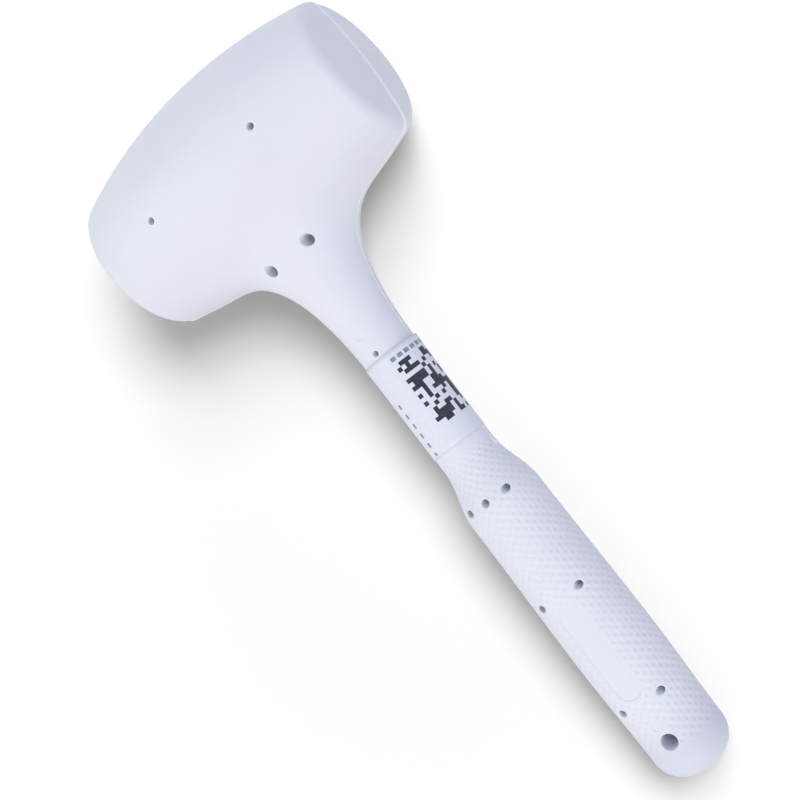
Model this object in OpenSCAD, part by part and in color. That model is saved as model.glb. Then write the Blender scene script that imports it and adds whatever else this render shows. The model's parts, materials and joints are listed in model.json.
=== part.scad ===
// White over-moulded mallet: a barrel head, a flared throat, a slim neck and a swelling grip cast as
// one piece of rubber over a steel skeleton. Loose shot inside the head takes the bounce out of a blow.
// Sizes are in millimetres. The tool's own axes are X along the head, Y along the handle towards the
// head and Z across the mould's parting plane, from the middle of the head. It is then laid on its side.

/* [Head] */
// Length of the head over its two striking faces
head_len = 126; // [116:1:150]
// Diameter at the belly of the barrel
head_d = 75.4; // [66:0.2:90]
// Diameter the barrel has narrowed to at the striking faces
face_d = 55.5; // [50:0.5:62]
// Height of the crown on each striking face
face_crown = 1.8; // [1:0.1:5]
// Radius of the rounded rim of each striking face
rim_r = 6; // [2:0.25:8]

/* [Throat] */
// Half length of the throat's foot along the head
foot_reach = 38.5; // [34:0.5:46]
// Half angle of the throat's foot round the head, in degrees
foot_angle = 57; // [40:1:58]
// How far the foot hugs the head before it turns
foot_pull = 12; // [4:0.5:14]
// How far the neck's line holds on towards the head before it flares
neck_pull = 52.5; // [45:0.5:70]
// From the middle of the head to where the throat has become the neck
throat_len = 92.5; // [86:0.5:96]

/* [Handle] */
// From the middle of the head to the end of the grip
handle_len = 280; // [240:1:330]
// Diameter of the neck just below the throat
neck_d = 22.2; // [20:0.2:26]
// Diameter of the neck just above the grip
neck_low_d = 22.8; // [20:0.2:26]
// Length of the grip
grip_len = 122; // [105:1:140]
// Length of the shoulder that steps out from the neck to the grip
shoulder_len = 22; // [12:1:30]
// Diameter at the top of the grip
grip_top_d = 31.4; // [28:0.2:36]
// Diameter where the grip swells into the palm
grip_d = 32.8; // [29:0.2:40]
// From the end of the grip to that swelling
swell_at = 55; // [40:1:75]
// Diameter near the end of the grip
butt_d = 31.2; // [28:0.2:36]
// Rounding of the end of the grip
butt_r = 12; // [5:0.5:13]

/* [Hanging hole] */
// Diameter of the hole through the end of the grip
hang_d = 6.5; // [5:0.25:9]
// From the end of the grip to the middle of the hole
hang_at = 18; // [14:0.5:24]
// Rubber left between the hole and the end of the steel core
hang_web = 5; // [3:0.5:12]

/* [Canister] */
// Length of the canister's tube
can_len = 72; // [64:1:80]
// Outer diameter of the canister
can_d = 42; // [38:0.5:44]
// Wall of the canister's tube
can_wall = 1.5; // [1:0.1:2.5]
// Thickness of the end caps' flanges and skirts
cap_t = 1.5; // [1:0.1:2.5]
// How far a cap's skirt goes into the tube
cap_skirt = 3; // [2:0.5:5]

/* [Shot] */
// Diameter of one shot ball
ball_d = 8; // [6:0.25:9]
// Space left between neighbouring balls
ball_gap = 0.2; // [0.1:0.05:0.6]
// Space left between the balls and the canister's walls
shot_gap = 0.4; // [0.3:0.05:1]
// How far the charge can run each way along the head
shot_travel = 6; // [3:0.5:9]
// Share of the canister's height that the charge fills
shot_fill = 0.8; // [0.5:0.05:0.95]

/* [Handle core] */
// Outer diameter of the steel tube in the handle
core_d = 14; // [11:0.25:15]
// Wall of that tube
core_wall = 2; // [1.5:0.1:3]
// Outer diameter of the collar that joins it to the canister
collar_d = 24; // [20:0.5:30]
// Length of the collar's neck below the canister
collar_len = 11; // [8:0.5:13]
// Thickness of the plug's flange at the core's lower end
plug_t = 2; // [1.5:0.25:4]
// How far the plug goes into the core
plug_len = 9; // [5:0.5:15]

/* [Locating pin holes] */
// Diameter of the holes over the canister
flank_pin_d = 2.8; // [2.5:0.1:4.5]
// From each end of the canister's tube in to those holes
flank_pin_in = 9; // [6:0.5:16]
// How far those holes sit from the head's axis, away from the handle
flank_pin_up = 1.8; // [0:0.2:6]
// Diameter of the holes in the throat
throat_pin_d = 4.8; // [4:0.1:6]
// Rubber left between the collar and the throat holes
throat_pin_gap = 4; // [2:0.1:8]
// Diameter of the hole at the top of the neck
neck_pin_d = 2.4; // [2:0.1:4]
// From the label's upper edge up to the middle of that hole
neck_pin_up = 2.4; // [2:0.2:6]
// Diameter of the holes in the grip
grip_pin_d = 3.2; // [2.5:0.1:5]
// From the top of the grip down to its first row of holes, on the shoulder
grip_pin_top = -4.5; // [-8:0.5:4]
// From the end of the grip up to its second row of holes
grip_pin_mid = 83; // [70:0.5:95]
// From the end of the grip up to its third row of holes
grip_pin_low = 35; // [32:0.5:45]
// Rubber left beside the core by the holes that straddle it
pin_side_gap = 0.2; // [0.1:0.05:0.6]
// Half the rubber left between holes that face each other across the handle
pin_floor = 1.5; // [1:0.25:4]

/* [Label] */
// How far the paper label reaches up onto the end of the throat
label_up = 4.5; // [2:0.5:6]
// Bare neck left between the label and the grip's shoulder
label_clear = 4.6; // [3:0.2:15]
// Thickness of the label
label_t = 0.4; // [0.2:0.05:0.8]
// Space under the label, which is wrapped a little loosely
label_gap = 0.45; // [0.1:0.05:0.8]
// How far round the neck the label goes, in degrees
label_wrap = 352; // [300:1:355]

/* [Fits] */
// Clearance of the moulded rubber round the steel
mould_gap = 0.1; // [0.05:0.05:0.3]
// Clearance of pieces that fit into one another
slip_gap = 0.05; // [0.03:0.01:0.2]

/* [Hidden] */
$fn = 64;

head_r = head_d / 2;
half_len = head_len / 2;

// The tool lies on the belly of its head and on the edge of its butt. The tilt brings the butt's rounded
// edge down to the floor, and the shift puts the middle of the whole box over the origin.
butt_in = butt_d / 2 - butt_r;
butt_out = handle_len - butt_r;
tilt = asin((head_r - butt_r) / norm([butt_out, butt_in])) - atan2(butt_in, butt_out);
shift_y = (butt_out * cos(tilt) + butt_in * sin(tilt) + butt_r - head_r) / 2;

module laid() {
    translate([0, shift_y, head_r]) rotate([tilt, 0, 0]) children();
}

// Heights along the handle, counted down from the middle of the head
grip_top = handle_len - grip_len;
shoulder_top = grip_top - shoulder_len;
core_end = handle_len - hang_at - hang_d / 2 - hang_web - plug_t;
collar_end = can_d / 2 + collar_len;
label_top = throat_len - label_up;
label_end = shoulder_top - label_clear;

// Outline of the head: the belly is a shallow curve, and the rim's rounding runs smoothly from it into the
// crown. Where the rounding begins is found by trying from further out a few times.
function belly_r(x) = head_r - (head_r - face_d / 2) * pow(x / half_len, 2);
function belly_slope(x) = -2 * (head_r - face_d / 2) * x / pow(half_len, 2);
function rim_from(x) = atan(-belly_slope(x));
function rim_middle(x) = belly_r(x) - rim_r * cos(rim_from(x));
function rim_to(x) = atan2(rim_middle(x), 2 * face_crown);
function rim_start(x, tries) = tries == 0 ? x
    : rim_start(half_len - face_crown - rim_r * (sin(rim_to(x)) - sin(rim_from(x))), tries - 1);
rim_x = rim_start(half_len - rim_r, 6);
rim_ring = rim_middle(rim_x) + rim_r * cos(rim_to(rim_x));

// Point of the head's skin at a distance along it and an angle round it, from the middle of the throat
function head_skin(x, turn) = [x, -belly_r(x) * cos(turn), belly_r(x) * sin(turn)];
function skin_normal(x, turn) =
    let (n = [-belly_slope(x), -cos(turn), sin(turn)]) n / norm(n);

// Radius of the handle: the neck, the shoulder and the grip run smoothly from one size to the next
handle_marks = [[throat_len, neck_d / 2], [shoulder_top, neck_low_d / 2], [grip_top, grip_top_d / 2],
                [handle_len - swell_at, grip_d / 2], [butt_out, butt_d / 2]];
function ease(t) = t * t * (3 - 2 * t);
function handle_r(down, k = 0) =
    let (a = handle_marks[k], b = handle_marks[k + 1])
    down > b[0] && k < len(handle_marks) - 2 ? handle_r(down, k + 1)
    : a[1] + (b[1] - a[1]) * ease(min(1, max(0, (down - a[0]) / (b[0] - a[0]))));

// Stations of the skin. The head is a grid of rows along it by turns round it, with a window under the
// throat. The window's edge is the first ring of the throat, and rings go on from there to the butt.
turns = 36;
turn_step = 360 / turns;
window_turns = ceil((foot_angle + 2) / turn_step);
window_x = foot_reach + 3;
window_rows = 10;
side_rows = 3;
rim_rows = 4;
face_rows = 3;

// Half of the head's outline from the window's end to the middle of the striking face, as [x, radius]
half_outline = concat(
    [for (i = [1:side_rows]) let (x = window_x + (rim_x - window_x) * i / side_rows) [x, belly_r(x)]],
    [for (i = [1:rim_rows])
        let (a = rim_from(rim_x) + (rim_to(rim_x) - rim_from(rim_x)) * i / rim_rows)
        [rim_x + rim_r * (sin(a) - sin(rim_from(rim_x))), rim_middle(rim_x) + rim_r * cos(a)]],
    [for (i = [1:face_rows - 1]) let (r = rim_ring * (1 - i / face_rows))
        [half_len - face_crown * pow(r / rim_ring, 2), r]]);
outline = concat(
    [for (i = [len(half_outline) - 1:-1:0]) [-half_outline[i][0], half_outline[i][1]]],
    [for (i = [0:window_rows]) let (x = window_x * (2 * i / window_rows - 1)) [x, belly_r(x)]],
    half_outline);
rows = len(outline);
first_row = len(half_outline);
last_row = first_row + window_rows;

// The window's edge as [row, turn] pairs, all the way round
window_edge = concat(
    [for (j = [-window_turns:window_turns - 1]) [first_row, j]],
    [for (i = [first_row:last_row - 1]) [i, window_turns]],
    [for (j = [window_turns:-1:-window_turns + 1]) [last_row, j]],
    [for (i = [last_row:-1:first_row + 1]) [i, -window_turns]]);
ring_size = len(window_edge);
ring_turn = [for (e = window_edge)
    atan2(e[1] / window_turns, outline[e[0]][0] / window_x)];

// One ring of the throat: s runs from its foot on the head, 0, to the neck, 1
function throat_point(a, s) =
    let (x = foot_reach * cos(a), turn = foot_angle * sin(a),
         foot = head_skin(x, turn),
         n = skin_normal(x, turn),
         inward = [-foot[0], 0, -foot[2]],
         along = inward - (inward * n) * n,
         hug = foot + foot_pull * along / norm(along),
         neck = [neck_d / 2 * cos(a), -throat_len, neck_d / 2 * sin(a)],
         hold = neck + [0, neck_pull, 0])
    pow(1 - s, 3) * foot + 3 * s * pow(1 - s, 2) * hug + 3 * s * s * (1 - s) * hold + pow(s, 3) * neck;
throat_rings = 9;
// Rings of the handle below the throat as [distance down, radius]: neck, shoulder, grip and butt
neck_rings = 4;
shoulder_rings = 6;
grip_rings = 8;
butt_rings = 5;
handle_rings = concat(
    [for (i = [1:neck_rings])
        let (d = throat_len + (shoulder_top - throat_len) * i / neck_rings) [d, handle_r(d)]],
    [for (i = [1:shoulder_rings])
        let (d = shoulder_top + shoulder_len * i / shoulder_rings) [d, handle_r(d)]],
    [for (i = [1:grip_rings])
        let (d = grip_top + (butt_out - grip_top) * i / grip_rings) [d, handle_r(d)]],
    [for (i = [1:butt_rings]) let (a = 90 * i / butt_rings)
        [butt_out + butt_r * sin(a), butt_in + butt_r * cos(a)]]);
rings = throat_rings + 1 + len(handle_rings);

skin_points = concat(
    [for (row = outline, j = [0:turns - 1])
        [row[0], -row[1] * cos(j * turn_step), row[1] * sin(j * turn_step)]],
    [for (k = [0:throat_rings], a = ring_turn) throat_point(a, k / throat_rings)],
    [for (ring = handle_rings, a = ring_turn) [ring[1] * cos(a), -ring[0], ring[1] * sin(a)]],
    [[-half_len, 0, 0], [half_len, 0, 0], [0, -handle_len, 0]]);

function grid_at(row, turn) = row * turns + (turn + turns) % turns;
function ring_at(ring, k) = rows * turns + ring * ring_size + k % ring_size;
function edge_at(k) = let (e = window_edge[k % ring_size]) grid_at(e[0], e[1]);
function in_window(row, turn) =
    let (j = turn >= turns / 2 ? turn - turns : turn)
    row >= first_row && row < last_row && j >= -window_turns && j < window_turns;
left_pole = rows * turns + rings * ring_size;
right_pole = left_pole + 1;
butt_pole = left_pole + 2;

skin_faces = concat(
    [for (i = [0:rows - 2], j = [0:turns - 1], half = [0, 1]) if (!in_window(i, j))
        half == 0 ? [grid_at(i, j), grid_at(i, j + 1), grid_at(i + 1, j + 1)]
        : [grid_at(i, j), grid_at(i + 1, j + 1), grid_at(i + 1, j)]],
    [for (j = [0:turns - 1]) [left_pole, grid_at(0, j + 1), grid_at(0, j)]],
    [for (j = [0:turns - 1]) [right_pole, grid_at(rows - 1, j), grid_at(rows - 1, j + 1)]],
    [for (k = [0:ring_size - 1], half = [0, 1])
        half == 0 ? [edge_at(k), edge_at(k + 1), ring_at(0, k + 1)]
        : [edge_at(k), ring_at(0, k + 1), ring_at(0, k)]],
    [for (i = [0:rings - 2], k = [0:ring_size - 1], half = [0, 1])
        half == 0 ? [ring_at(i, k), ring_at(i, k + 1), ring_at(i + 1, k + 1)]
        : [ring_at(i, k), ring_at(i + 1, k + 1), ring_at(i + 1, k)]],
    [for (k = [0:ring_size - 1]) [ring_at(rings - 1, k), ring_at(rings - 1, k + 1), butt_pole]]);

// Cylinder along the head, centred, and one along the handle between two distances down from the head
module along_head(d, length) {
    rotate([0, 90, 0]) cylinder(d = d, h = length, center = true);
}
module along_handle(d, from, to) {
    translate([0, -from, 0]) rotate([90, 0, 0]) cylinder(d = d, h = to - from);
}

// Pair of facing locating pin holes, from both halves of the mould down to a depth
module pin_holes(d, x, down, depth) {
    for (side = [0, 180])
        rotate([0, side, 0]) translate([x, -down, depth]) cylinder(d = d, h = head_d);
}
module straddling_holes(d, down) {
    x = core_d / 2 + pin_side_gap + d / 2;
    for (side = [-1, 1]) pin_holes(d, side * x, down, pin_floor);
}

// The whole rubber casting, hollow where the steel sits, with the holes that the locating pins left
module rubber_body() {
    color("ghostwhite") laid() difference() {
        polyhedron(skin_points, skin_faces, convexity = 8);
        along_head(can_d + 2 * mould_gap, can_len + 2 * cap_t + 2 * mould_gap);
        along_handle(collar_d + 2 * mould_gap, 0, collar_end + mould_gap);
        along_handle(core_d + 2 * mould_gap, 0, core_end + plug_t + mould_gap);
        translate([0, hang_at - handle_len, 0]) cylinder(d = hang_d, h = 2 * grip_d, center = true);
        for (side = [-1, 1]) pin_holes(flank_pin_d, side * (can_len / 2 - flank_pin_in), -flank_pin_up, 0);
        straddling_holes(throat_pin_d, collar_end + throat_pin_gap + throat_pin_d / 2);
        pin_holes(neck_pin_d, 0, label_top - neck_pin_up, 0);
        pin_holes(grip_pin_d, 0, grip_top + grip_pin_top, 0);
        straddling_holes(grip_pin_d, grip_top + grip_pin_top);
        straddling_holes(grip_pin_d, handle_len - grip_pin_mid);
        straddling_holes(grip_pin_d, handle_len - grip_pin_low);
    }
}

// Drawn steel tube of the canister
module canister_tube() {
    color("silver") laid() difference() {
        along_head(can_d, can_len);
        along_head(can_d - 2 * can_wall, can_len + 1);
    }
}

// Pressed steel cap: a flange over the tube's end and a skirt inside it
module end_cap() {
    skirt_d = can_d - 2 * can_wall - 2 * slip_gap;
    laid() rotate([0, 90, 0]) difference() {
        union() {
            translate([0, 0, can_len / 2]) cylinder(d = can_d, h = cap_t);
            translate([0, 0, can_len / 2 - cap_skirt]) cylinder(d = skirt_d, h = cap_skirt);
        }
        translate([0, 0, can_len / 2 - cap_skirt - 1]) cylinder(d = skirt_d - 2 * cap_t, h = cap_skirt + 1);
    }
}
module left_end_cap() {
    color("lightsteelblue") mirror([1, 0, 0]) end_cap();
}
module right_end_cap() {
    color("lightsteelblue") end_cap();
}

// Bed of steel balls on the lower wall of the canister. Each layer sits in the hollows of the one below,
// and the bed is short enough to run along the head without reaching the skirts of the caps.
module shot_charge() {
    pitch = ball_d + ball_gap;
    rise = pitch * sin(60);
    bed_r = can_d / 2 - can_wall - ball_d / 2 - shot_gap;
    bed_len = can_len - 2 * (cap_skirt + shot_travel + shot_gap) - ball_d;
    along = floor(bed_len / pitch);
    layers = floor((shot_fill * (2 * bed_r + ball_d) - ball_d) / rise);
    color("gray") laid()
        for (k = [0:layers]) {
            z = k * rise - bed_r;
            odd = k % 2;
            half_chord = sqrt(max(0, bed_r * bed_r - z * z));
            across = floor(half_chord / pitch - odd / 2);
            for (i = [0:along], j = [-across - odd:across])
                translate([(i - along / 2) * pitch, (j + odd / 2) * pitch, z]) sphere(d = ball_d);
        }
}

// Turned collar that is saddled onto the canister and holds the top of the core
module core_collar() {
    color("darkgray") laid() difference() {
        along_handle(collar_d, 0, collar_end);
        along_head(can_d + 2 * slip_gap, can_len);
        along_handle(core_d + 2 * slip_gap, 0, collar_end + 1);
    }
}

// Steel tube down the middle of the handle, its top end cut to the round of the canister
module handle_core() {
    color("silver") laid() difference() {
        along_handle(core_d, 0, core_end);
        along_head(can_d + 2 * slip_gap, can_len);
        along_handle(core_d - 2 * core_wall, 0, core_end + 1);
    }
}

// Plug that keeps the rubber out of the lower end of the core
module core_plug() {
    color("dimgray") laid() {
        along_handle(core_d, core_end, core_end + plug_t);
        along_handle(core_d - 2 * core_wall - 2 * slip_gap, core_end - plug_len, core_end);
    }
}

// Paper label wrapped round the neck, with its open edges on the far side
module label() {
    steps = 4;
    downs = [for (i = [0:steps]) label_top + (label_end - label_top) * i / steps];
    color("white") laid() rotate([90, 0, 0]) rotate(270 + (360 - label_wrap) / 2)
        rotate_extrude(angle = label_wrap)
            polygon(concat(
                [for (d = downs) [handle_r(d) + label_gap, d]],
                [for (i = [steps:-1:0]) [handle_r(downs[i]) + label_gap + label_t, downs[i]]]));
}

rubber_body();
canister_tube();
left_end_cap();
right_end_cap();
shot_charge();
core_collar();
handle_core();
core_plug();
label();
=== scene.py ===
# A white over-moulded mallet lying on its side: steel skeleton first, then the rubber cast over it, the
# paper label on the neck, and last the floor, the lamps and the camera. Sizes of pieces are in millimetres
# along the tool's own axes: X along the head, Y along the handle towards the head, Z across the mould.
import json
import math

import bpy
import numpy as np
from mathutils import Euler, Matrix, Vector
from mathutils.bvhtree import BVHTree
from mathutils.geometry import delaunay_2d_cdt


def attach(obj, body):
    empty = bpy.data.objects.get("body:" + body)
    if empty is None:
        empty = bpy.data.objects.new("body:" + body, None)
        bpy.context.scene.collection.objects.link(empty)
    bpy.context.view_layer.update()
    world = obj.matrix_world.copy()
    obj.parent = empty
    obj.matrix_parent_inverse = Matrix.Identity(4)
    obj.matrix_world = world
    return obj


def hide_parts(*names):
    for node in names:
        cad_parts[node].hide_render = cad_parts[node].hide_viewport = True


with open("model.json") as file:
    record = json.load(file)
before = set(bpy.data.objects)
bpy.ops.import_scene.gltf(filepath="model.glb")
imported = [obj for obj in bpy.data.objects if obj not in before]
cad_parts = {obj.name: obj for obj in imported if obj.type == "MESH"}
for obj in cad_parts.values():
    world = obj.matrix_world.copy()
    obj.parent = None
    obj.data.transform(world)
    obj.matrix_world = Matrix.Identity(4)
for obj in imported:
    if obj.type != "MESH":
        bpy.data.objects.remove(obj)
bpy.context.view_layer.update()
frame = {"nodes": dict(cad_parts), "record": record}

# How the tool lies: the middle of the head is half way between the two striking faces, and the mould's
# parting plane leans as the hanging hole does.
mounts = {mount["name"]: mount for mount in frame["record"]["mounts"]}
faces_at = [Vector(mounts[side + "_striking_face"]["pos_m"]) for side in ("right", "left")]
lean = mounts["hang_hole"]["axis"]
laid = (Matrix.Translation((faces_at[0] + faces_at[1]) / 2)
        @ Matrix.Rotation(math.atan2(-lean[1], lean[2]), 4, "X") @ Matrix.Scale(0.001, 4))


# Canister: a drawn steel tube along the head, closed by two pressed caps whose skirts sit inside it. The
# steel is bare, with the fine lines of drawing and a little brown where the hot rubber has stained it.
class Field:
    """One output of a material's nodes. Python arithmetic on it adds Math nodes."""

    def __init__(self, tree, socket=None):
        self.tree, self.socket = tree, socket

    def node(self, kind, settings=None, inputs=None, out=0):
        made = self.tree.nodes.new(kind)
        for name, value in (settings or {}).items():
            if name == "stops":
                stops = made.color_ramp.elements
                while len(stops) < len(value):
                    stops.new(0.5)
                for stop, (place, colour) in zip(stops, value):
                    stop.position, stop.color = place, (*colour, 1)
            else:
                setattr(made, name, value)
        for name, value in (inputs or {}).items():
            if isinstance(value, Field):
                self.tree.links.new(value.socket, made.inputs[name])
            else:
                made.inputs[name].default_value = value
        return Field(self.tree, made.outputs[out])

    def maths(self, operation, first, second=0.0):
        return self.node("ShaderNodeMath", {"operation": operation}, {0: first, 1: second})

    def __add__(self, other): return self.maths("ADD", self, other)
    def __sub__(self, other): return self.maths("SUBTRACT", self, other)
    def __rsub__(self, other): return self.maths("SUBTRACT", other, self)
    def __mul__(self, other): return self.maths("MULTIPLY", self, other)
    def __truediv__(self, other): return self.maths("DIVIDE", self, other)
    def __rtruediv__(self, other): return self.maths("DIVIDE", other, self)
    def __gt__(self, other): return self.maths("GREATER_THAN", self, other)
    def __lt__(self, other): return self.maths("LESS_THAN", self, other)
    def __mod__(self, other): return self.maths("FLOORED_MODULO", self, other)
    __radd__, __rmul__ = __add__, __mul__

    def floor(self): return self.maths("FLOOR", self)
    def between(self, low, high): return (self > low) * (self < high)

    def ramp(self, low, high):
        return self.node("ShaderNodeMapRange", {"interpolation_type": "SMOOTHSTEP"},
                         {"Value": self, "From Min": low, "From Max": high})

    def mix(self, first, second, share):
        """Goes from one colour to another as share goes from nought to one."""
        colours = {slot: colour if isinstance(colour, Field) else (*colour, 1)
                   for slot, colour in ((6, first), (7, second))}
        return self.node("ShaderNodeMix", {"data_type": "RGBA"}, {0: share, **colours}, out=2)


def rgb(red, green, blue):
    """A colour read as 0 to 255 on a screen, in Blender's linear light."""
    return tuple((c / 255 / 12.92 if c <= 10 else ((c / 255 + 0.055) / 1.055) ** 2.4)
                 for c in (red, green, blue))


def new_finish(name, **constants):
    """A material with a Principled shader, whose constants are set by socket name."""
    finish = bpy.data.materials.new(name)
    finish.use_nodes = True
    tree = finish.node_tree
    shader = tree.nodes["Principled BSDF"]
    for socket, value in constants.items():
        shader.inputs[socket.replace("_", " ")].default_value = value
    return finish, Field(tree), shader


def steel_finish(name, clean, stain, grain, roughness):
    """Bare steel with tool marks along a direction and patches of stain."""
    finish, field, shader = new_finish(name, Metallic=1.0)
    place = field.node("ShaderNodeTexCoord", out=3)
    stretched = field.node("ShaderNodeVectorMath", {"operation": "MULTIPLY"}, {0: place, 1: grain})
    marks = field.node("ShaderNodeTexNoise", {}, {"Vector": stretched, "Scale": 1.0, "Detail": 4.0})
    patches = field.node("ShaderNodeTexNoise", {}, {"Vector": place, "Scale": 90.0, "Detail": 5.0})
    bare = field.node("ShaderNodeValToRGB", {"stops": [(0.3, clean), (0.8, [c * 1.15 for c in clean])]},
                      {"Fac": marks})
    stained = field.mix(bare, stain, patches.ramp(0.52, 0.72) * 0.6)
    field.tree.links.new(stained.socket, shader.inputs["Base Color"])
    field.tree.links.new((patches * 0.25 + marks * 0.15 + roughness - 0.2).socket,
                         shader.inputs["Roughness"])
    bump = field.node("ShaderNodeBump", {}, {"Height": marks, "Strength": 0.25, "Distance": 0.0002})
    field.tree.links.new(bump.socket, shader.inputs["Normal"])
    return finish


def dress(node, finish):
    """Puts a finish on a CAD node that is shown as it is."""
    mesh = frame["nodes"][node].data
    mesh.materials.clear()
    mesh.materials.append(finish)


drawn_steel = steel_finish("drawn_steel", rgb(172, 174, 178), rgb(96, 84, 74),
                           grain=(60.0, 2500.0, 2500.0), roughness=0.4)
pressed_steel = steel_finish("pressed_steel", rgb(184, 186, 190), rgb(104, 92, 80),
                             grain=(900.0, 900.0, 900.0), roughness=0.36)
dress("canister_tube", drawn_steel)
dress("left_end_cap", pressed_steel)
dress("right_end_cap", pressed_steel)

# Shot charge: loose steel balls in the canister. They are ground all over and then scuffed by each other.
ball_steel = steel_finish("ball_steel", rgb(150, 153, 158), rgb(80, 76, 74),
                          grain=(1400.0, 1400.0, 1400.0), roughness=0.3)
dress("shot_charge", ball_steel)

# Handle skeleton: a collar turned to saddle the canister, a drawn tube down the handle that is held in it,
# and a turned plug that keeps the rubber out of the tube's lower end.
turned_steel = steel_finish("turned_steel", rgb(160, 162, 166), rgb(92, 82, 72),
                            grain=(300.0, 3500.0, 300.0), roughness=0.34)
core_steel = steel_finish("core_steel", rgb(166, 168, 172), rgb(98, 84, 72),
                          grain=(2500.0, 60.0, 2500.0), roughness=0.42)
dress("core_collar", turned_steel)
dress("handle_core", core_steel)
dress("core_plug", turned_steel)

# Rubber body: head, throat, neck and grip cast as one piece of white rubber round the skeleton. The mould's
# two halves meet in a thin raised line, its locating pins leave holes in both halves, and the grip has
# rows of small round dimples that stop at a smooth sunken plate.
head_len, head_d, face_d, face_crown, rim_r = 126, 75.4, 55.5, 1.8, 6
foot_reach, foot_angle, foot_pull = 38.5, math.radians(57), 12
neck_pull, throat_len = 52.5, 92.5
handle_len, neck_d, neck_low_d, shoulder_top, grip_top = 280, 22.2, 22.8, 136, 158
grip_top_d, grip_d, butt_d, swell_down, butt_r = 31.4, 32.8, 31.2, 225, 12
head_r, half_len = head_d / 2, head_len / 2
butt_out, butt_in = handle_len - butt_r, butt_d / 2 - butt_r


def belly_r(x):
    return head_r - (head_r - face_d / 2) * (x / half_len) ** 2


def belly_slope(x):
    return -2 * (head_r - face_d / 2) * x / half_len ** 2


def ease(t):
    return t * t * (3 - 2 * t)


def step_over(value, low, high):
    """Nought below low and one above high, with a smooth step between them."""
    return ease(np.clip((value - low) / (high - low), 0, 1))


def handle_r(down):
    """Radius of the handle at a distance down from the middle of the head."""
    marks = [(throat_len, neck_d), (shoulder_top, neck_low_d), (grip_top, grip_top_d),
             (swell_down, grip_d), (butt_out, butt_d)]
    radius = np.full(np.shape(down), neck_d / 2)
    for (start, d0), (end, d1) in zip(marks, marks[1:]):
        radius = radius + (d1 - d0) / 2 * step_over(down, start, end)
    return radius


def round_handle(turn, radius, down):
    """Points round the handle's axis, at a distance down from the middle of the head."""
    return np.stack([radius * np.cos(turn), np.full(np.shape(turn), -down), radius * np.sin(turn)], -1)


def throat_point(turn, share):
    """Point of the throat: turn goes round it, share runs from its foot on the head, 0, to the neck, 1."""
    x, round_head = foot_reach * np.cos(turn), foot_angle * np.sin(turn)
    r = belly_r(x)
    foot = np.stack([x, -r * np.cos(round_head), r * np.sin(round_head)], -1)
    normal = np.stack([-belly_slope(x), -np.cos(round_head), np.sin(round_head)], -1)
    normal /= np.linalg.norm(normal, axis=-1, keepdims=True)
    inward = foot * (-1, 0, -1)
    along = inward - (inward * normal).sum(-1, keepdims=True) * normal
    hug = foot + foot_pull * along / np.linalg.norm(along, axis=-1, keepdims=True)
    neck = round_handle(turn, neck_d / 2, throat_len)
    hold = neck + (0, neck_pull, 0)
    s = share
    return (1 - s) ** 3 * foot + 3 * s * (1 - s) ** 2 * hug + 3 * s * s * (1 - s) * hold + s ** 3 * neck


# The rim's rounding runs smoothly from the belly into the crown. Where it begins is found step by step.
rim_x = half_len - rim_r
for _ in range(6):
    rim_from = math.atan(-belly_slope(rim_x))
    rim_middle = belly_r(rim_x) - rim_r * math.cos(rim_from)
    rim_to = math.atan2(rim_middle, 2 * face_crown)
    rim_x = half_len - face_crown - rim_r * (math.sin(rim_to) - math.sin(rim_from))
rim_ring = rim_middle + rim_r * math.cos(rim_to)
rim_turn = np.linspace(rim_from, rim_to, 13)
rim_line = np.stack([rim_x + rim_r * (np.sin(rim_turn) - math.sin(rim_from)),
                     rim_middle + rim_r * np.cos(rim_turn)], 1)
face_ring = np.linspace(rim_ring, 0, 13)[1:]
face_line = np.stack([half_len - face_crown * (face_ring / rim_ring) ** 2, face_ring], 1)

# The skin is a grid on the head, with a window under the throat, and rings from the window to the butt
turns, window_turns, window_rows = 176, 29, 30
window_x = foot_reach + 3
side_x = np.linspace(window_x, rim_x, 9)[1:]
half_outline = np.concatenate([np.stack([side_x, belly_r(side_x)], 1), rim_line[1:], face_line[:-1]])
window_line = np.linspace(-window_x, window_x, window_rows + 1)
outline = np.concatenate([half_outline[::-1] * (-1, 1),
                          np.stack([window_line, belly_r(window_line)], 1), half_outline])
rows, first_row = len(outline), len(half_outline)
last_row = first_row + window_rows
round_head = np.arange(turns) * 2 * math.pi / turns
head_points = np.stack([np.repeat(outline[:, :1], turns, 1), -outline[:, 1:] * np.cos(round_head),
                        outline[:, 1:] * np.sin(round_head)], -1).reshape(-1, 3)

edge_rows = np.concatenate([np.full(2 * window_turns, first_row), np.arange(first_row, last_row),
                            np.full(2 * window_turns, last_row), np.arange(last_row, first_row, -1)])
edge_turns = np.concatenate([np.arange(-window_turns, window_turns), np.full(window_rows, window_turns),
                             np.arange(window_turns, -window_turns, -1),
                             np.full(window_rows, -window_turns)])
ring_size = len(edge_rows)
even_turn = math.pi - (np.arange(ring_size) - window_turns) * 2 * math.pi / ring_size
edge_turn = np.arctan2(edge_turns / window_turns, outline[edge_rows, 0] / window_x)
edge_turn = even_turn + (edge_turn - even_turn + math.pi) % (2 * math.pi) - math.pi

# Dimples of the grip: rings of them along it, each ring shifted half a dimple from the last. They fade away
# at both ends, and round the holes and the plate.
dimple_row, dimples_round, dimple_r, dimple_depth = 1.7225, 22, 1.15, 0.45
dimples_from, dimples_to, fade_in, fade_out = 132.835, 268.0, 5.0, 4.0
bare_round_hole, bare_round_plate = (0.5, 1.5), (0.2, 0.9)
plate_half_width, plate_top, plate_end = 5.15, 200.0, 242.5
hang_down, hang_r = 262.0, 3.25
ejector_down, ejector_r = 254.5, 2.1
pin_floor, core_top, canister_top = 1.5, 6.6, 20.6
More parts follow.
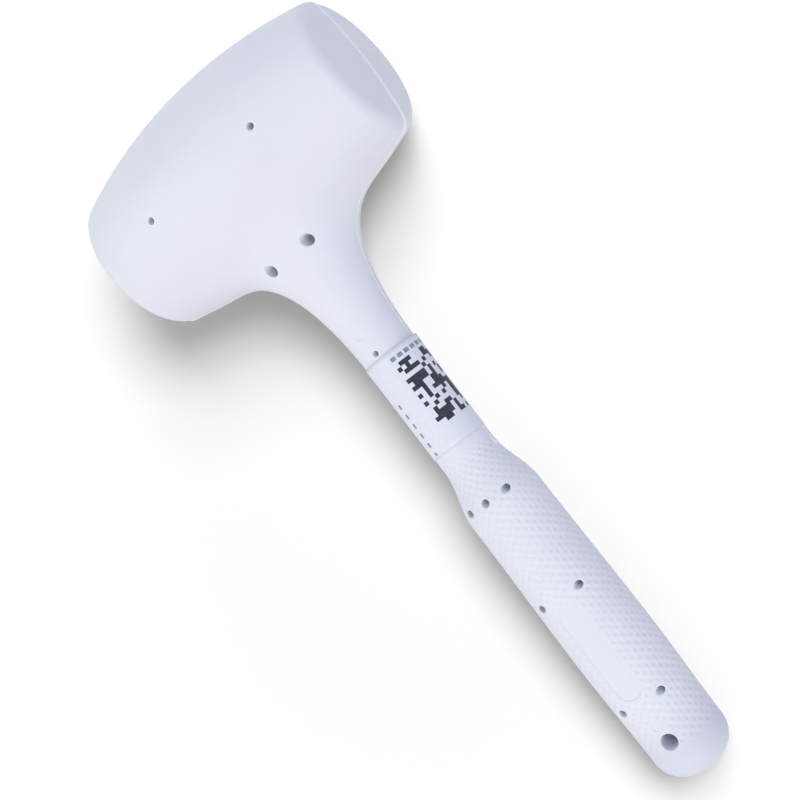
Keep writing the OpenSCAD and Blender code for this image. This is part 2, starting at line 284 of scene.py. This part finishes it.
# Holes of the locating pins as x, distance down, radius and how far in they end
pins = [(27, -1.8, 1.4, canister_top), (-27, -1.8, 1.4, canister_top),
        (9.6, 38.4, 2.4, pin_floor), (-9.6, 38.4, 2.4, pin_floor), (0, 85.6, 1.2, core_top),
        (0, 153.5, 1.6, core_top), (8.8, 153.5, 1.6, pin_floor), (-8.8, 153.5, 1.6, pin_floor),
        (8.8, 197, 1.6, pin_floor), (-8.8, 197, 1.6, pin_floor),
        (8.8, 245, 1.6, pin_floor), (-8.8, 245, 1.6, pin_floor)]


def grip_relief(down, turn, radius):
    """Height of the grip's skin over its plain round, and minus how far in a dimple it is."""
    row = (down - dimples_from) / dimple_row
    along = np.stack([row - 2 * np.round(row / 2), row - 1 - 2 * np.round((row - 1) / 2)]) * dimple_row
    spot = (turn - math.pi / 2) * dimples_round / (2 * math.pi)
    across = np.stack([spot - np.round(spot), spot - 0.5 - np.round(spot - 0.5)])
    across = across * 2 * math.pi * radius / dimples_round
    away = np.hypot(along[:, None], across).min(0)
    dimple = (1 + np.cos(math.pi * np.clip(away / dimple_r, 0, 1))) / 2
    x, z = radius * np.cos(turn), radius * np.sin(turn)
    cut = (step_over(down, dimples_from, dimples_from + fade_in)
           * (1 - step_over(down, dimples_to - fade_out, dimples_to)))
    bare, whole = bare_round_hole
    for hole_x, hole_down, hole_r, _ in pins + [(0, hang_down, hang_r, 0), (0, ejector_down, ejector_r, 0)]:
        cut = cut * step_over(np.hypot(x - hole_x, down - hole_down), hole_r + bare, hole_r + whole)
    bend = np.clip(down, plate_top + plate_half_width, plate_end - plate_half_width)
    from_plate = np.where(z > 0, np.hypot(x, down - bend) - plate_half_width, math.inf)
    cut = cut * step_over(from_plate, *bare_round_plate)
    return -cut * dimple_depth * dimple, -cut * dimple


throat_shares = np.linspace(0, 1, 37)
rings = [throat_point(edge_turn + (even_turn - edge_turn) * ease(s), s) for s in throat_shares]
hollows = [np.zeros(ring_size)] * len(rings)
plain_downs = np.linspace(throat_len, dimples_from, 29)[1:]
cut_downs = np.arange(dimples_from + dimple_row / 4, butt_out, dimple_row / 4)
for down in np.concatenate([plain_downs, cut_downs]):
    radius = handle_r(down)
    height, hollow = grip_relief(down, even_turn, radius)
    rings.append(round_handle(even_turn, radius + height, down))
    hollows.append(hollow)
butt_rings = [(butt_in + butt_r * math.cos(bend), butt_out + butt_r * math.sin(bend))
              for bend in np.linspace(0, math.pi / 2, 15)]
for radius, down in butt_rings + [(butt_in * 2 / 3, handle_len), (butt_in / 3, handle_len)]:
    rings.append(round_handle(even_turn, radius, down))
    hollows.append(np.zeros(ring_size))

skin = [tuple(p) for p in head_points] + [tuple(p) for ring in rings for p in ring]
hollow_at = [0.0] * len(head_points) + [h for ring in hollows for h in ring]
ring_start = len(head_points)
faces = []
for i in range(rows - 1):
    for j in range(turns):
        off = j - turns if j >= turns / 2 else j
        if not (first_row <= i < last_row and -window_turns <= off < window_turns):
            k = (j + 1) % turns
            faces.append((i * turns + j, (i + 1) * turns + j, (i + 1) * turns + k, i * turns + k))
window_edge = [int(i * turns + j % turns) for i, j in zip(edge_rows, edge_turns)]
loops = [window_edge] + [list(range(ring_start + n * ring_size, ring_start + (n + 1) * ring_size))
                         for n in range(len(rings))]
for upper, lower in zip(loops, loops[1:]):
    for k in range(ring_size):
        n = (k + 1) % ring_size
        faces.append((upper[k], lower[k], lower[n], upper[n]))
for pole, loop in (((-half_len, 0, 0), list(range(turns - 1, -1, -1))),
                   ((half_len, 0, 0), list(range((rows - 1) * turns, rows * turns))),
                   ((0, -handle_len, 0), loops[-1])):
    skin.append(pole)
    hollow_at.append(0.0)
    for k in range(len(loop)):
        faces.append((loop[(k + 1) % len(loop)], loop[k], len(skin) - 1))

# Each hole or sunken mark is a slot, given by x, its ends' distances down and its radius, and round if the
# ends meet. The skin is opened round it, a rounded lip is stitched in, and the wall goes down from there.
solid_skin = BVHTree.FromPolygons(skin, faces)
at = np.array(skin)
well_outside, cap_points, inside_only, least_gap = 60, 20, 1, 1e-7
lip_shares, lip_hollow, lip_clear, lip_search = (0, 0.2, 0.4, 0.6, 0.8, 1), 0.125, 0.2, 4


def on_skin(spot, side):
    """The point of the skin over a spot of the mould's parting plane."""
    return solid_skin.ray_cast(Vector((*spot, side * well_outside)), Vector((0, 0, -side)))[0]


def slot_edge(slot, out, straight=0):
    """Points in order round a slot, a distance outside its edge."""
    x, top, end, radius = slot
    size, cap = radius + out, (np.arange(cap_points) + 0.5) * math.pi / cap_points
    along = np.linspace(end, top, straight + 2)[1:-1]
    points = [(x + size, -down) for down in along]
    points += [(x + size * math.cos(a), -top + size * math.sin(a)) for a in cap]
    points += [(x - size, -down) for down in along[::-1]]
    points += [(x - size * math.cos(a), -end - size * math.sin(a)) for a in cap]
    return points


def add_ring(points, hollow):
    start = len(skin)
    skin.extend(points)
    hollow_at.extend([hollow] * len(points))
    return list(range(start, len(skin)))


def join_rings(upper, lower, side):
    for k in range(len(upper)):
        n = (k + 1) % len(upper)
        quad = (upper[k], upper[n], lower[n], lower[k])
        faces.append(quad if side > 0 else quad[::-1])


def close_ring(ring, x, side):
    """Floors a slot with strips across it."""
    left, right = [sorted((v for v in ring if (skin[v][0] > x) == right), key=lambda v: skin[v][1])
                   for right in (False, True)]
    for k in range(len(left) - 1):
        strip = (left[k], right[k], right[k + 1], left[k + 1])
        faces.append(strip if side > 0 else strip[::-1])


def open_slot(slot, side, lip, straight=0):
    """Opens the skin on one side of the mould, stitches in a lip, and returns the ring below the lip."""
    x, top, end, radius = slot

    def from_edge(spots):
        return np.hypot(spots[..., 0] - x, spots[..., 1] + np.clip(-spots[..., 1], top, end)) - radius

    def in_the_way(face):
        corners = at[list(face)]
        return any((from_edge(corners + (np.roll(corners, 1, 0) - corners) * t) < lip + lip_clear).any()
                   for t in (0, 0.25, 0.5, 0.75))

    close = (from_edge(at) < lip + lip_search) & (at[:, 2] * side > 0)
    gone = {f for f in faces if max(f) < len(at) and any(close[v] for v in f) and in_the_way(f)}
    faces[:] = [f for f in faces if f not in gone]
    open_edges = {(a, b) for f in gone for a, b in zip(f, f[1:] + f[:1])}
    border = sorted(edge for edge in open_edges if edge[::-1] not in open_edges)

    profile = []
    for outer, corner in zip(slot_edge(slot, lip, straight), slot_edge(slot, 0, straight)):
        outer, corner = on_skin(outer, side), on_skin(corner, side)
        below = corner - Vector((0, 0, side * lip))
        profile.append([outer * (1 - t) ** 2 + corner * 2 * t * (1 - t) + below * t * t
                        for t in lip_shares])
    lips = [add_ring([tuple(p[n]) for p in profile], n * lip_hollow) for n in range(len(lip_shares))]
    spots = sorted({v for edge in border for v in edge}) + lips[0]
    number = {v: n for n, v in enumerate(spots)}
    fixed = [(number[a], number[b]) for a, b in border + list(zip(lips[0], lips[0][1:] + lips[0][:1]))]
    triangles, sources = delaunay_2d_cdt([Vector(skin[v][:2]) for v in spots], fixed, [],
                                         inside_only, least_gap)[2:4]
    for corners in triangles:
        triangle = tuple(spots[sources[n][0]] for n in corners)
        if min(triangle) < lips[0][0]:
            faces.append(triangle if side > 0 else triangle[::-1])
    for upper, lower in zip(lips, lips[1:]):
        join_rings(upper, lower, side)
    return lips[-1]


# A pin hole ends in a flat floor with a rounded edge. Its rings are given by how far in they lie and how
# high over the floor.
pin_lip, hang_lip, floor_rounding = 0.35, 0.5, ((0, 0.6), (0.12, 0.15), (0.4, 0))
for x, down, radius, floor_z in pins:
    for side in (1, -1):
        slot = (x * side, down, down, radius)
        ring = open_slot(slot, side, pin_lip)
        for inset, over in floor_rounding:
            lower = add_ring([(*p, side * (floor_z + over)) for p in slot_edge(slot, -inset)], 1.0)
            join_rings(ring, lower, side)
            ring = lower
        close_ring(ring, x * side, side)
hang_slot = (0, hang_down, hang_down, hang_r)
join_rings(open_slot(hang_slot, 1, hang_lip), open_slot(hang_slot, -1, hang_lip), 1)

# Sunken on the front alone: the smooth plate, the round marks of two pins that pushed the casting out, and
# a small blister in the grip. Each has its slot, its depth, the points along its straight sides, and how
# far in from its edge the rings of its floor lie.
plate = (0, plate_top + plate_half_width, plate_end - plate_half_width, plate_half_width)
sunken = [(plate, 0.4, 24, (0.1, 1, 2.5, 4)),
          ((0, ejector_down, ejector_down, ejector_r), 0.2, 0, (0.1, 0.7, 1.4)),
          ((-0.8, 77, 77, 1.6), 0.3, 0, (0.1, 0.6, 1.1)),
          ((-1.6, 187.6, 187.6, 0.4), 0.25, 0, (0.05, 0.2))]
for slot, depth, straight, insets in sunken:
    ring = open_slot(slot, 1, depth, straight)
    for inset in insets:
        floor_line = [on_skin(spot, 1) for spot in slot_edge(slot, -inset, straight)]
        lower = add_ring([(x, y, z - depth) for x, y, z in floor_line], 0.0)
        join_rings(ring, lower, 1)
        ring = lower
    close_ring(ring, slot[0], 1)


def new_piece(name, points, polygons, finish):
    """A smooth mesh piece from points along the tool's own axes, laid down with the tool."""
    mesh = bpy.data.meshes.new(name)
    mesh.from_pydata(points, [], polygons)
    mesh.transform(laid)
    mesh.polygons.foreach_set("use_smooth", [True] * len(mesh.polygons))
    mesh.materials.append(finish)
    mesh.update()
    piece = bpy.data.objects.new(name, mesh)
    bpy.context.scene.collection.objects.link(piece)
    return piece


# The rubber's finish: painted shade that darkens the dimples, painted light that lifts the walls of the
# holes, painted shade that darkens the butt end, and a few faint specks
white_rubber, field, shader = new_finish("white_rubber", IOR=1.5, Specular_IOR_Level=0.4,
                                         Subsurface_Weight=0.35, Subsurface_Scale=0.0006,
                                         Subsurface_Radius=(1, 1, 1))
butt_shade_from, butt_shade_to = 0.125, 0.155
place = field.node("ShaderNodeTexCoord", out=3)
clouds = field.node("ShaderNodeTexNoise", {}, {"Vector": place, "Scale": 28.0, "Detail": 3.0})
fine = field.node("ShaderNodeTexNoise", {}, {"Vector": place, "Scale": 900.0, "Detail": 4.0})
specks = field.node("ShaderNodeTexVoronoi", {}, {"Vector": place, "Scale": 160.0, "Randomness": 1.0})
hollow = field.node("ShaderNodeAttribute", {"attribute_name": "hollow"}, out=2)
along = field.node("ShaderNodeSeparateXYZ", {}, {0: place}, out=1)
tone = field.node("ShaderNodeValToRGB", {"stops": [(0.3, rgb(231, 233, 243)), (0.7, rgb(235, 237, 246))]},
                  {"Fac": clouds})
# Painted shade: the dimples are darkened towards their middles, where shade falls in them
dimples_shaded = field.mix(tone, rgb(206, 209, 222), (0 - hollow).ramp(0.35, 1.0) * 0.1)
# Painted light: the walls and lips of the holes are made paler, to lift the shade in them
holes_lit = field.mix(dimples_shaded, rgb(246, 251, 255), hollow.ramp(0.4, 1.0))
# Painted shade: the casting is made greyer towards the butt end, where less light falls on it
butt_shaded = field.mix(holes_lit, rgb(214, 216, 232), (0 - along).ramp(butt_shade_from, butt_shade_to) * 0.7)
specked = field.mix(butt_shaded, rgb(196, 198, 208),
                    (1 - specks.ramp(0.02, 0.07)) * clouds.ramp(0.55, 0.7) * 0.5)
field.tree.links.new(specked.socket, shader.inputs["Base Color"])
field.tree.links.new((fine * 0.12 + clouds * 0.1 + 0.42).socket, shader.inputs["Roughness"])
grain = field.node("ShaderNodeBump", {}, {"Height": fine, "Strength": 0.12, "Distance": 0.0002})
field.tree.links.new(grain.socket, shader.inputs["Normal"])

used = sorted({v for face in faces for v in face})
place_of = {v: n for n, v in enumerate(used)}
rubber_body = new_piece("rubber_casting", [skin[v] for v in used],
                        [[place_of[v] for v in face] for face in faces], white_rubber)
rubber_body.data.attributes.new("hollow", "FLOAT", "POINT").data.foreach_set(
    "value", [hollow_at[v] for v in used])
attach(rubber_body, "mallet")
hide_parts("rubber_body")

# Parting line: the thin bead of rubber where the mould's halves met, right round the head, throat and neck.
# On the grip it is trimmed off, but for one nub. It is the casting's own rubber, shown by a lit copy of its
# finish: painted light makes it paler than the casting, so that it reads as a lit line.
bead_half_width, bead_height, bead_sides = 0.8, 0.6, 8
bead_end, nub_end, nub_top = 139.2, 210.2, 208.2
right_side = [(handle_r(d), -d) for d in np.linspace(bead_end, throat_len, 60)]
right_side += [tuple(throat_point(np.array([0.0]), s)[0][:2]) for s in np.linspace(1, 0, 60)[1:]]
right_side += [(x, -belly_r(x)) for x in np.linspace(foot_reach, rim_x, 16)[1:-1]]
right_side += [(x, -r) for x, r in np.concatenate([rim_line, face_line])]
right_side += [(x, r) for x, r in np.concatenate([rim_line, face_line])[-2::-1]]
right_side += [(x, belly_r(x)) for x in np.linspace(rim_x, 0, 40)[1:]]
whole_line = np.array(right_side + [(-x, y) for x, y in right_side[-2::-1]])
nub_line = np.array([(handle_r(d), -d) for d in np.linspace(nub_end, nub_top, 9)])
# It is full on the striking faces and close to its ends, where it tapers off, and thinner between
bead_thin, face_blend, end_full, end_thin = 0.35, 4, 1.5, 3.5
bead_points, bead_faces = [], []
for line in (whole_line, nub_line):
    ahead = np.gradient(line, axis=0)
    outward = np.stack([ahead[:, 1], -ahead[:, 0]], 1) / np.linalg.norm(ahead, axis=1, keepdims=True)
    travel = np.concatenate([[0], np.cumsum(np.linalg.norm(np.diff(line, axis=0), axis=1))])
    from_end = np.minimum(travel, travel[-1] - travel)
    full = np.maximum(step_over(np.abs(line[:, 0]), rim_x - face_blend, rim_x + face_blend),
                      1 - step_over(from_end, end_full, end_thin))
    swell = np.clip(from_end, 0.1, 1) * (bead_thin + (1 - bead_thin) * full)
    start = len(bead_points)
    for spot, out, size in zip(line, outward, swell):
        for a in np.arange(bead_sides) * 2 * math.pi / bead_sides:
            bead_points.append((*(spot + out * bead_height * size * math.sin(a)),
                                bead_half_width * size * math.cos(a)))
    loops = [list(range(start + n * bead_sides, start + (n + 1) * bead_sides)) for n in range(len(line))]
    for this, after in zip(loops, loops[1:]):
        for k in range(bead_sides):
            n = (k + 1) % bead_sides
            bead_faces.append((this[k], after[k], after[n], this[n]))
    bead_faces += [tuple(loops[0]), tuple(loops[-1][::-1])]
# Painted light: a paler copy of the rubber, without its scattering, so that the bead reads as lit
lit_bead_rubber, field, shader = new_finish("lit_bead_rubber", IOR=1.5, Specular_IOR_Level=0.4)
fine = field.node("ShaderNodeTexNoise", {}, {
    "Vector": field.node("ShaderNodeTexCoord", out=3), "Scale": 400.0, "Detail": 3.0})
lit_bead_tone = field.node("ShaderNodeValToRGB", {"stops": [(0.3, rgb(247, 246, 249)), (0.7, rgb(251, 250, 252))]},
                  {"Fac": fine})
field.tree.links.new(lit_bead_tone.socket, shader.inputs["Base Color"])
field.tree.links.new((fine * 0.2 + 0.4).socket, shader.inputs["Roughness"])
parting_line = new_piece("parting_line", bead_points, bead_faces, lit_bead_rubber)
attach(parting_line, "mallet")

# Label: a strip of white coated paper wrapped round the neck a little loosely, so that its upper edge
# stands off on one side. Its open edges are on the far side. The print is dark blue: a patch of made-up
# blocks and a few plain dashes.
label_top, label_end, label_thick = 88.0, 130.1, 0.2
label_gap, gap_closes, label_loose = 0.28, 0.85, 0.6
label_wrap, label_rows, label_columns = math.radians(352), 24, 120
start_turn = -math.pi / 2 + (2 * math.pi - label_wrap) / 2
sheet_rows = np.linspace(0, 1, label_rows + 1)
sheet_turns = np.linspace(0, 1, label_columns + 1)


def sheet_point(share, round_it, lift):
    """Point of the sheet: share runs from its upper to its lower edge, round_it goes round the neck."""
    down = label_top + (label_end - label_top) * share
    angle = start_turn + label_wrap * round_it
    loose = label_loose * (1 - share) ** 2 * max(0, math.cos(angle)) ** 2
    radius = float(handle_r(down)) + label_gap * (1 - gap_closes * share) + loose + lift
    return radius * math.cos(angle), -down, radius * math.sin(angle)


sheet_points = [sheet_point(d, t, lift)
                for lift in (0, label_thick) for d in sheet_rows for t in sheet_turns]
wide = label_columns + 1
layer = wide * (label_rows + 1)
sheet_faces, sheet_uvs = [], []
for i in range(label_rows):
    for j in range(label_columns):
        a = i * wide + j
        sheet_faces.append((layer + a, layer + a + 1, layer + a + wide + 1, layer + a + wide))
        sheet_faces.append((a, a + wide, a + wide + 1, a + 1))
border = (list(range(wide)) + [i * wide + wide - 1 for i in range(1, label_rows + 1)]
          + [label_rows * wide + j for j in range(wide - 2, -1, -1)]
          + [i * wide for i in range(label_rows - 1, 0, -1)])
for a, b in zip(border, border[1:] + border[:1]):
    sheet_faces.append((b, layer + b, layer + a, a))

# The print's map: the sheet's outer side fills its lower half and the inner side its upper half. The
# sheet's edges lie between them.
map_from, map_height, map_inner, edge_from, edge_height = 0.02, 0.46, 0.5, 0.485, 0.03


def print_place(vertex, edge):
    """Place of a vertex on the print's map."""
    row, column = divmod(vertex % layer, wide)
    if edge:
        return column / label_columns, edge_from + edge_height * (vertex < layer)
    return column / label_columns, map_from + map_height * row / label_rows + map_inner * (vertex < layer)


for face in sheet_faces:
    edge = any(v < layer for v in face) and any(v >= layer for v in face)
    sheet_uvs.extend(value for v in face for value in print_place(v, edge))

label_paper, field, shader = new_finish("label_paper", IOR=1.5)
sheet_round, block_size, dash_step, dash_len, side_step, side_len = 73.0, 1.75, 3.1, 2.2, 4.4, 2.0
print_map = field.node("ShaderNodeUVMap", {"uv_map": "OFBake"})
across = field.node("ShaderNodeSeparateXYZ", {}, {0: print_map}, out=0) * sheet_round
down_it = ((field.node("ShaderNodeSeparateXYZ", {}, {0: print_map}, out=1) - map_from)
           * ((label_end - label_top) / map_height))
block = field.node("ShaderNodeCombineXYZ", {},
                   {0: (across / block_size).floor(), 1: (down_it / block_size).floor()})
chance = field.node("ShaderNodeTexWhiteNoise", {"noise_dimensions": "2D"}, {"Vector": block})
patch = across.between(9 * block_size, 19 * block_size) * down_it.between(3 * block_size, 19 * block_size)
blocks = (chance > 0.5) * patch
dashes = (across % dash_step < dash_len) * across.between(15.5, 33.5) * down_it.between(2.4, 4.1)
side_dashes = (down_it % side_step < side_len) * across.between(42.2, 43.6) * down_it.between(17.0, 41.0)
rule = across.between(48.2, 48.7) * down_it.between(5.0, 11.0)
fibres = field.node("ShaderNodeTexNoise", {}, {
    "Vector": field.node("ShaderNodeTexCoord", out=3), "Scale": 700.0, "Detail": 5.0})
paper = field.node("ShaderNodeValToRGB", {"stops": [(0.3, rgb(227, 230, 243)), (0.7, rgb(233, 236, 247))]},
                   {"Fac": fibres})
dashed = field.mix(paper, rgb(112, 120, 142), (dashes + side_dashes + rule) * (fibres * 0.4 + 0.6))
printed = field.mix(dashed, rgb(26, 33, 54), blocks * (fibres * 0.1 + 0.94))
field.tree.links.new(printed.socket, shader.inputs["Base Color"])
field.tree.links.new((fibres * 0.15 + blocks * 0.1 + 0.38).socket, shader.inputs["Roughness"])

label = new_piece("neck_label", sheet_points, sheet_faces, label_paper)
label.data.uv_layers.new(name="OFBake").data.foreach_set("uv", sheet_uvs)
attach(label, "mallet")
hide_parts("label")

# Floor: a plain white studio floor that keeps the tool's soft shadow. Where the lamps no longer reach, far
# from the tool, it glows so as to stay white.
floor_mesh = bpy.data.meshes.new("studio_floor")
floor_half = 4.0
floor_mesh.from_pydata([(-floor_half, -floor_half, 0), (floor_half, -floor_half, 0),
                        (floor_half, floor_half, 0), (-floor_half, floor_half, 0)], [], [(0, 1, 2, 3)])
floor = bpy.data.objects.new("studio_floor", floor_mesh)
bpy.context.scene.collection.objects.link(floor)
floor_white, field, shader = new_finish("floor_white", Roughness=0.9, Specular_IOR_Level=0.0,
                                        Emission_Strength=1.0)


def seen_as(field, plain, seen):
    """One colour where the eye, a mirror or glass looks, and a plain one for light that bounces about."""
    looked_at = sum(field.node("ShaderNodeLightPath", out=ray)
                    for ray in ("Is Camera Ray", "Is Glossy Ray", "Is Transmission Ray"))
    return field.mix(plain, seen, looked_at)


floor_bounced, floor_seen, dark = (0.231, 0.226, 0.198), (0.37, 0.358, 0.298), (0, 0, 0)
near_glow, far_glow, glow_from, glow_to = (0.165, 0.165, 0.165), (0.9, 0.9, 0.9), 0.1, 0.7
from_tool = field.node("ShaderNodeVectorMath", {"operation": "LENGTH"},
                       {0: field.node("ShaderNodeTexCoord", out=3)}, out=1)
floor_grey = seen_as(field, floor_bounced, floor_seen)
floor_glow = seen_as(field, dark, field.mix(near_glow, far_glow, from_tool.ramp(glow_from, glow_to)))
field.tree.links.new(floor_grey.socket, shader.inputs["Base Color"])
field.tree.links.new(floor_glow.socket, shader.inputs["Emission Color"])
floor_mesh.materials.append(floor_white)

# Lamps: an even cool light from all round, a softbox high behind the head and one low beyond the butt, and
# two lamps on the floor alone that throw the tool's shadow down the picture.
sky, sky_level, white = (0.804, 0.83, 1.0), 0.843, (1, 1, 1)
world = bpy.data.worlds.new("studio")
world.use_nodes = True
bpy.context.scene.world = world
backdrop = seen_as(Field(world.node_tree), [sky_level * c for c in sky], white)
world.node_tree.links.new(backdrop.socket, world.node_tree.nodes["Background"].inputs["Color"])
lamps_aim = Vector((0, 0.02, 0.03))


def add_lamp(name, towards, distance, size, power, colour, lit):
    """A round lamp that shines on the objects in lit alone."""
    lamp = bpy.data.lights.new(name, "AREA")
    lamp.shape, lamp.size, lamp.energy, lamp.color = "DISK", size, power, colour
    holder = bpy.data.objects.new(name, lamp)
    holder.location = lamps_aim + Vector(towards).normalized() * distance
    holder.rotation_euler = Vector(towards).to_track_quat("Z", "Y").to_euler()
    bpy.context.scene.collection.objects.link(holder)
    holder.light_linking.receiver_collection = bpy.data.collections.new("lit_by_" + name)
    for receiver in lit:
        holder.light_linking.receiver_collection.objects.link(receiver)


tool = [*frame["nodes"].values(), rubber_body, parting_line, label]
softbox_far, softbox_size, floor_lamp_far, floor_lamp_size = 1.5, 1.1, 3.0, 1.3
add_lamp("high_softbox", (-0.354, 0.354, 0.866), softbox_far, softbox_size, 3.95, (1.0, 1.0, 0.41), tool)
add_lamp("low_softbox", (0, -0.848, 0.53), softbox_far, softbox_size, 6.4, (1.0, 0.924, 0.67), tool)
add_lamp("shadow_lamp", (0.741, 0.118, 1.0), floor_lamp_far, floor_lamp_size, 160.0, sky, [floor])
add_lamp("second_shadow_lamp", (0.737, 0.599, 1.0), floor_lamp_far, floor_lamp_size, 90.0, sky, [floor])

# Camera: above the tool, turned so that the right striking face shows
picture_px, focal_px, sensor_mm = 800, 1613.542, 36.0
camera_at, camera_turn = (252.354, -124.783, 546.257), (-14.866, 21.113, -40.936)
camera = bpy.data.objects.new("camera", bpy.data.cameras.new("camera"))
camera.data.sensor_width, camera.data.lens = sensor_mm, focal_px / picture_px * sensor_mm
camera.matrix_world = (laid @ Matrix.Translation(camera_at)).normalized() @ Euler(
    [math.radians(a) for a in camera_turn]).to_matrix().to_4x4()
camera.data.clip_start = 0.01
bpy.context.scene.collection.objects.link(camera)
bpy.context.scene.camera = camera
bpy.context.scene.view_settings.view_transform = "Standard"
